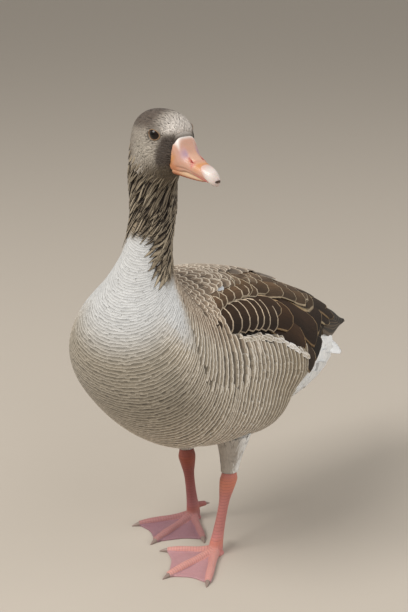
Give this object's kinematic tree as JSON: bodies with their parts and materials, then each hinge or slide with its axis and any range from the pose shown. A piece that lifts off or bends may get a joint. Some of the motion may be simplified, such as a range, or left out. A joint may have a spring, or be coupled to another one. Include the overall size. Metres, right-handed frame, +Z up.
{
  "type": "domestic goose",
  "caption": "Life-size standing greylag-type domestic goose, wings folded, webbed feet flat, head turned to its left.",
  "frame": {"origin": "on the floor under the middle of the model's bounding box", "axes": "+Z up, the goose faces -Y, +X is its left side"},
  "size_m": [0.1922, 0.4773, 0.5205],
  "materials": {
    "body_plumage": "soft grey-brown plumage, pale cream on the breast, matt",
    "white_plumage": "clean white plumage, matt",
    "wing_plumage": "brown vaned feathers with pale buff fringes, slight sheen",
    "flight_feathers": "blackish flight feathers, slight sheen",
    "bill_skin": "smooth pink to orange bill skin, satin",
    "horn": "pale cream horn, satin",
    "eye": "dark brown eye, wet gloss",
    "leg_skin": "scaled pink leg and web skin, satin",
    "claw_horn": "dull grey-brown claw horn, satin"
  },
  "bodies": {
    "root": {"trunk": "body_plumage", "neck_lower": "body_plumage", "neck_middle": "body_plumage", "neck_upper": "body_plumage", "head": "body_plumage", "rump": "white_plumage", "tail": "white_plumage", "thigh_left": "white_plumage", "thigh_right": "white_plumage", "scapulars_left": "wing_plumage", "scapulars_right": "wing_plumage", "wing_left": "wing_plumage", "wing_right": "wing_plumage", "tertials_left": "wing_plumage", "tertials_right": "wing_plumage", "primaries_left": "flight_feathers", "primaries_right": "flight_feathers", "bill_upper": "bill_skin", "bill_lower": "bill_skin", "bill_nail": "horn", "eye_left": "eye", "eye_right": "eye", "tarsus_left": "leg_skin", "tarsus_right": "leg_skin", "foot_left": "leg_skin", "foot_right": "leg_skin", "hind_toe_left": "leg_skin", "hind_toe_right": "leg_skin", "claw_inner_left": "claw_horn", "claw_inner_right": "claw_horn", "claw_middle_left": "claw_horn", "claw_middle_right": "claw_horn", "claw_outer_left": "claw_horn", "claw_outer_right": "claw_horn", "claw_hind_left": "claw_horn", "claw_hind_right": "claw_horn"}
  },
  "joints": []
}
